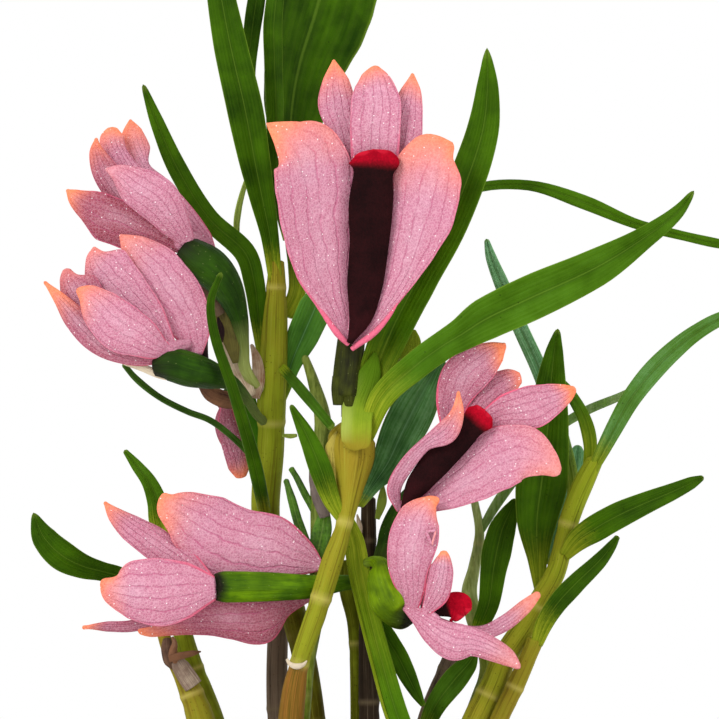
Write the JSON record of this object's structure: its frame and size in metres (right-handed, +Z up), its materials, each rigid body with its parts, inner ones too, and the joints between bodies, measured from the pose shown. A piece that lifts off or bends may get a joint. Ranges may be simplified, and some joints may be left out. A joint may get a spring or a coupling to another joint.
{
  "type": "dendrobium orchid",
  "caption": "Clump of jointed orchid canes with folded strap leaves and pink, dark-lipped flowers, standing in a plain tapered clay pot.",
  "frame": {"origin": "middle of the pot's flat underside", "axes": "+Z up along the canes, the flowers' front towards -Y, +X to the right seen from the front"},
  "size_m": [0.0923, 0.064, 0.1757],
  "materials": {
    "clay": "unglazed matte terracotta",
    "bark": "rough damp bark chips",
    "cane_green": "waxy, finely ribbed olive yellow",
    "cane_brown": "dry papery sheath, matte",
    "leaf_green": "smooth leathery leaf, satin",
    "leaf_blue_green": "smooth leathery leaf, glossy",
    "tepal_pink": "soft waxy petal with a fine sparkle",
    "lip_maroon": "velvety, dark maroon with a scarlet end",
    "ovary_green": "smooth waxy green"
  },
  "bodies": {
    "root": {"cane_front": "cane_green", "cane_left": "cane_green", "cane_left_leafy": "cane_green", "cane_left_short": "cane_green", "cane_middle_brown": "cane_brown", "cane_middle_olive": "cane_green", "cane_old_brown": "cane_brown", "cane_old_grey": "cane_brown", "cane_right": "cane_green", "cane_right_low": "cane_green", "flower_back_left_ovary": "ovary_green", "flower_back_left_tepals": "tepal_pink", "flower_centre_lip": "lip_maroon", "flower_centre_ovary": "ovary_green", "flower_centre_tepals": "tepal_pink", "flower_lower_left_lip": "lip_maroon", "flower_lower_left_ovary": "ovary_green", "flower_lower_left_tepals": "tepal_pink", "flower_lower_right_lip": "lip_maroon", "flower_lower_right_ovary": "ovary_green", "flower_lower_right_tepals": "tepal_pink", "flower_mid_left_lip": "lip_maroon", "flower_mid_left_ovary": "ovary_green", "flower_mid_left_tepals": "tepal_pink", "flower_right_lip": "lip_maroon", "flower_right_ovary": "ovary_green", "flower_right_tepals": "tepal_pink", "flower_upper_left_lip": "lip_maroon", "flower_upper_left_ovary": "ovary_green", "flower_upper_left_tepals": "tepal_pink", "leaf_back_hanging": "leaf_green", "leaf_broad_right": "leaf_green", "leaf_centre_blue": "leaf_blue_green", "leaf_centre_down": "leaf_green", "leaf_centre_stick": "leaf_green", "leaf_edge_right": "leaf_blue_green", "leaf_far_left": "leaf_green", "leaf_far_right": "leaf_green", "leaf_fork_right": "leaf_green", "leaf_grass_right": "leaf_green", "leaf_left_arching": "leaf_green", "leaf_left_front": "leaf_green", "leaf_left_small": "leaf_green", "leaf_left_thread": "leaf_green", "leaf_long_right": "leaf_green", "leaf_low_centre": "leaf_green", "leaf_low_grey": "leaf_green", "leaf_low_right": "leaf_green", "leaf_right_blue": "leaf_blue_green", "leaf_side_right": "leaf_green", "leaf_strap_down": "leaf_green", "leaf_tall_right": "leaf_green", "leaf_top_left": "leaf_green", "leaf_top_left_back": "leaf_green", "leaf_top_wide": "leaf_green", "leaf_upper_back": "leaf_green", "pot": "clay", "potting_medium": "bark", "shoot_back": "cane_green", "shoot_thin": "cane_green"}
  },
  "joints": []
}
